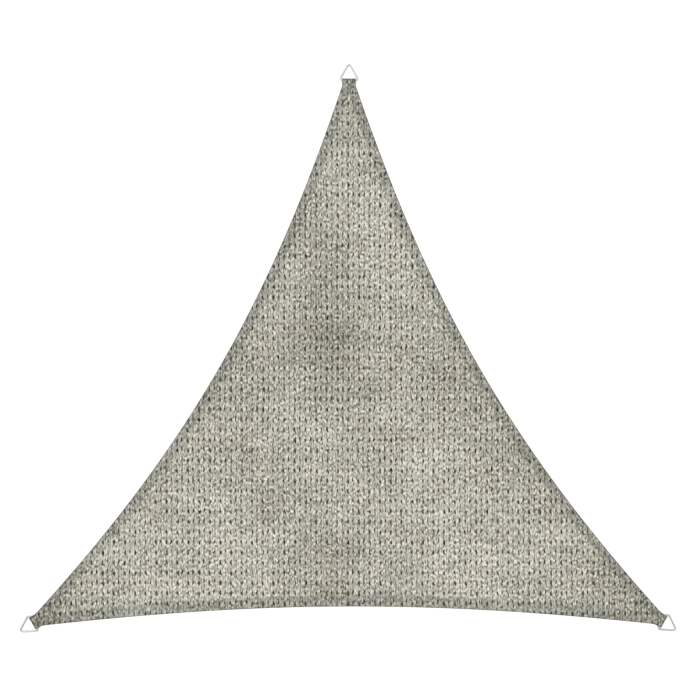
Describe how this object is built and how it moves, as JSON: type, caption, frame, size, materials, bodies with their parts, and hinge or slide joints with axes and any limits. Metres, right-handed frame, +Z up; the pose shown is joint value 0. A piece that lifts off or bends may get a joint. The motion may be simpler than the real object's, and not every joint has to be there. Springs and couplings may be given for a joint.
{
  "type": "shade sail",
  "caption": "Triangular knitted shade sail with inward-curved hemmed edges and a steel ring sewn into each corner tab, laid out flat.",
  "frame": {"origin": "centre of the laid-out sail's bounding box, on the surface that it lies on", "axes": "+X along the foot to the right, +Y towards the peak, +Z up out of the cloth's top side"},
  "size_m": [3.6129, 3.129, 0.0116],
  "materials": {
    "knitted_cloth": "matt, openly knitted plastic yarn in a warm light grey",
    "ring_steel": "satin stainless steel wire"
  },
  "bodies": {
    "root": {"sail_cloth": "knitted_cloth", "ring_top": "ring_steel", "ring_left": "ring_steel", "ring_right": "ring_steel"}
  },
  "joints": []
}
